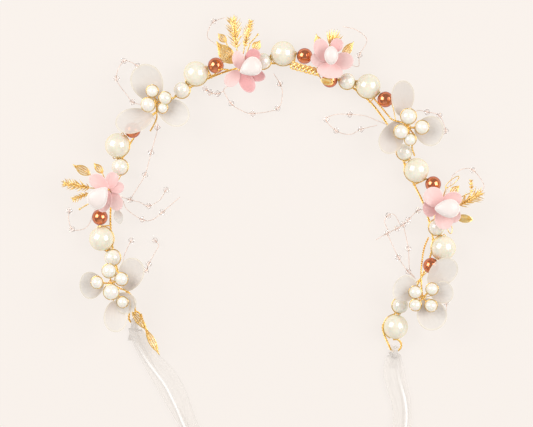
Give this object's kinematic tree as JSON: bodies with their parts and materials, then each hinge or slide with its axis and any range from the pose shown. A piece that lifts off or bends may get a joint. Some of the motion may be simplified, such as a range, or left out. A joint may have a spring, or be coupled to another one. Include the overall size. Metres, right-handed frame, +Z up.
{
  "type": "flower crown",
  "caption": "Wired bridal flower crown: an open arch of pearls, frosted and pink flowers, gold leaves and crystal tendrils, with organza ribbon ties.",
  "frame": {"origin": "middle of the crown's footprint, on the surface it lies on", "axes": "+Z up out of the face that is worn outwards, +Y from the ribbons to the top of the arch, +X to the right across the arch"},
  "size_m": [0.1684, 0.1836, 0.0187],
  "materials": {
    "large_pearl": "nacre lacquer, glossy",
    "line_pearl": "nacre lacquer, glossy",
    "copper": "rose copper, polished",
    "gold": "gold plated, bright",
    "frosted": "frosted translucent resin",
    "pink": "satin, soft pink",
    "bud": "satin cream",
    "crystal": "clear faceted, on fine rose-gold wire",
    "ribbon": "sheer ivory organza"
  },
  "bodies": {
    "crown": {"core_wire": "gold", "bead_wire": "gold", "frosted_petals_a": "frosted", "pearl_cluster_a": "line_pearl", "frosted_petals_c": "frosted", "pearl_cluster_c": "line_pearl", "frosted_petals_f": "frosted", "pearl_cluster_f": "line_pearl", "frosted_petals_h": "frosted", "pearl_cluster_h": "line_pearl", "pink_petals_b": "pink", "bud_b": "bud", "gold_spray_b": "gold", "pink_petals_d": "pink", "bud_d": "bud", "gold_spray_d": "gold", "pink_petals_e": "pink", "bud_e": "bud", "gold_spray_e": "gold", "pink_petals_g": "pink", "bud_g": "bud", "gold_spray_g": "gold", "tendril_a": "crystal", "tendril_b_outer": "crystal", "tendril_inner_left": "crystal", "tendril_c_outer": "crystal", "tendril_d": "crystal", "tendril_e": "crystal", "tendril_f": "crystal", "tendril_g_outer": "crystal", "tendril_inner_right": "crystal", "tendril_h": "crystal", "end_leaf": "gold"},
    "copper_bead_1_body": {"copper_bead_1": "copper"},
    "copper_bead_2_body": {"copper_bead_2": "copper"},
    "copper_bead_3_body": {"copper_bead_3": "copper"},
    "copper_bead_4_body": {"copper_bead_4": "copper"},
    "copper_bead_5_body": {"copper_bead_5": "copper"},
    "copper_bead_6_body": {"copper_bead_6": "copper"},
    "copper_bead_7_body": {"copper_bead_7": "copper"},
    "copper_bead_8_body": {"copper_bead_8": "copper"},
    "large_pearl_1_body": {"large_pearl_1": "large_pearl"},
    "large_pearl_2_body": {"large_pearl_2": "large_pearl"},
    "large_pearl_3_body": {"large_pearl_3": "large_pearl"},
    "large_pearl_4_body": {"large_pearl_4": "large_pearl"},
    "large_pearl_5_body": {"large_pearl_5": "large_pearl"},
    "large_pearl_6_body": {"large_pearl_6": "large_pearl"},
    "large_pearl_7_body": {"large_pearl_7": "large_pearl"},
    "large_pearl_8_body": {"large_pearl_8": "large_pearl"},
    "line_pearl_1_body": {"line_pearl_1": "line_pearl"},
    "line_pearl_2_body": {"line_pearl_2": "line_pearl"},
    "line_pearl_3_body": {"line_pearl_3": "line_pearl"},
    "line_pearl_4_body": {"line_pearl_4": "line_pearl"},
    "line_pearl_5_body": {"line_pearl_5": "line_pearl"},
    "line_pearl_6_body": {"line_pearl_6": "line_pearl"},
    "line_pearl_7_body": {"line_pearl_7": "line_pearl"},
    "line_pearl_8_body": {"line_pearl_8": "line_pearl"},
    "left_ribbon": {"ribbon_left": "ribbon"},
    "right_ribbon": {"ribbon_right": "ribbon"}
  },
  "joints": [
    {"name": "copper_bead_1_spin", "type": "hinge", "parent": "crown", "child": "copper_bead_1_body", "pos_m": [-0.06975, 0.01147, 0.0049], "axis": [-0.0701, 0.9975, 0], "continuous": true},
    {"name": "copper_bead_2_spin", "type": "hinge", "parent": "crown", "child": "copper_bead_2_body", "pos_m": [-0.05663, 0.04641, 0.0049], "axis": [0.7084, 0.7058, 0], "continuous": true},
    {"name": "copper_bead_3_spin", "type": "hinge", "parent": "crown", "child": "copper_bead_3_body", "pos_m": [-0.02324, 0.07232, 0.0049], "axis": [0.9303, 0.3668, 0], "continuous": true},
    {"name": "copper_bead_4_spin", "type": "hinge", "parent": "crown", "child": "copper_bead_4_body", "pos_m": [0.01235, 0.07612, 0.0049], "axis": [0.992, -0.126, 0], "continuous": true},
    {"name": "copper_bead_5_spin", "type": "hinge", "parent": "crown", "child": "copper_bead_5_body", "pos_m": [0.02242, 0.06662, 0.0049], "axis": [0.9964, -0.0843, 0], "continuous": true},
    {"name": "copper_bead_6_spin", "type": "hinge", "parent": "crown", "child": "copper_bead_6_body", "pos_m": [0.04471, 0.05869, 0.0049], "axis": [0.786, -0.6182, 0], "continuous": true},
    {"name": "copper_bead_7_spin", "type": "hinge", "parent": "crown", "child": "copper_bead_7_body", "pos_m": [0.06386, 0.02472, 0.0049], "axis": [0.7592, -0.6508, 0], "continuous": true},
    {"name": "copper_bead_8_spin", "type": "hinge", "parent": "crown", "child": "copper_bead_8_body", "pos_m": [0.06304, -0.00797, 0.0049], "axis": [-0.5786, -0.8156, 0], "continuous": true},
    {"name": "large_pearl_1_spin", "type": "hinge", "parent": "crown", "child": "large_pearl_1_body", "pos_m": [-0.06914, 0.00279, 0.0049], "axis": [-0.2948, 0.9556, 0], "continuous": true},
    {"name": "large_pearl_2_spin", "type": "hinge", "parent": "crown", "child": "large_pearl_2_body", "pos_m": [-0.0628, 0.04027, 0.0049], "axis": [0.3281, 0.9447, 0], "continuous": true},
    {"name": "large_pearl_3_spin", "type": "hinge", "parent": "crown", "child": "large_pearl_3_body", "pos_m": [-0.03133, 0.06913, 0.0049], "axis": [0.8113, 0.5846, 0], "continuous": true},
    {"name": "large_pearl_4_spin", "type": "hinge", "parent": "crown", "child": "large_pearl_4_body", "pos_m": [0.00372, 0.07721, 0.0049], "axis": [0.9927, 0.1209, 0], "continuous": true},
    {"name": "large_pearl_5_spin", "type": "hinge", "parent": "crown", "child": "large_pearl_5_body", "pos_m": [0.03787, 0.06406, 0.0049], "axis": [0.9018, -0.4322, 0], "continuous": true},
    {"name": "large_pearl_6_spin", "type": "hinge", "parent": "crown", "child": "large_pearl_6_body", "pos_m": [0.05726, 0.03038, 0.0049], "axis": [0.6632, -0.7484, 0], "continuous": true},
    {"name": "large_pearl_7_spin", "type": "hinge", "parent": "crown", "child": "large_pearl_7_body", "pos_m": [0.06808, -0.00088, 0.0049], "axis": [-0.1488, -0.9889, 0], "continuous": true},
    {"name": "large_pearl_8_spin", "type": "hinge", "parent": "crown", "child": "large_pearl_8_body", "pos_m": [0.04892, -0.03248, 0.0049], "axis": [-0.2056, -0.9786, 0], "continuous": true},
    {"name": "line_pearl_1_spin", "type": "hinge", "parent": "crown", "child": "line_pearl_1_body", "pos_m": [-0.06476, -0.00472, 0.0049], "axis": [-0.5041, 0.8636, 0], "continuous": true},
    {"name": "line_pearl_2_spin", "type": "hinge", "parent": "crown", "child": "line_pearl_2_body", "pos_m": [-0.06177, 0.03163, 0.0049], "axis": [-0.1184, 0.993, 0], "continuous": true},
    {"name": "line_pearl_3_spin", "type": "hinge", "parent": "crown", "child": "line_pearl_3_body", "pos_m": [-0.03692, 0.06246, 0.0049], "axis": [0.6424, 0.7664, 0], "continuous": true},
    {"name": "line_pearl_4_spin", "type": "hinge", "parent": "crown", "child": "line_pearl_4_body", "pos_m": [-0.0044, 0.07408, 0.0049], "axis": [0.9328, 0.3604, 0], "continuous": true},
    {"name": "line_pearl_5_spin", "type": "hinge", "parent": "crown", "child": "line_pearl_5_body", "pos_m": [0.0294, 0.06603, 0.0049], "axis": [0.9866, -0.163, 0], "continuous": true},
    {"name": "line_pearl_6_spin", "type": "hinge", "parent": "crown", "child": "line_pearl_6_body", "pos_m": [0.05243, 0.03762, 0.0049], "axis": [0.5547, -0.832, 0], "continuous": true},
    {"name": "line_pearl_7_spin", "type": "hinge", "parent": "crown", "child": "line_pearl_7_body", "pos_m": [0.06535, 0.00739, 0.0049], "axis": [0.3129, -0.9498, 0], "continuous": true},
    {"name": "line_pearl_8_spin", "type": "hinge", "parent": "crown", "child": "line_pearl_8_body", "pos_m": [0.0507, -0.02396, 0.0049], "axis": [-0.2056, -0.9786, 0], "continuous": true},
    {"name": "left_ribbon_swing", "type": "hinge", "parent": "crown", "child": "left_ribbon", "pos_m": [-0.05586, -0.02879, 0.0015], "axis": [0, 0, 1], "range_deg": [-15, 15]},
    {"name": "right_ribbon_swing", "type": "hinge", "parent": "crown", "child": "right_ribbon", "pos_m": [0.04886, -0.03996, 0.0015], "axis": [0, 0, 1], "range_deg": [-15, 15]}
  ]
}
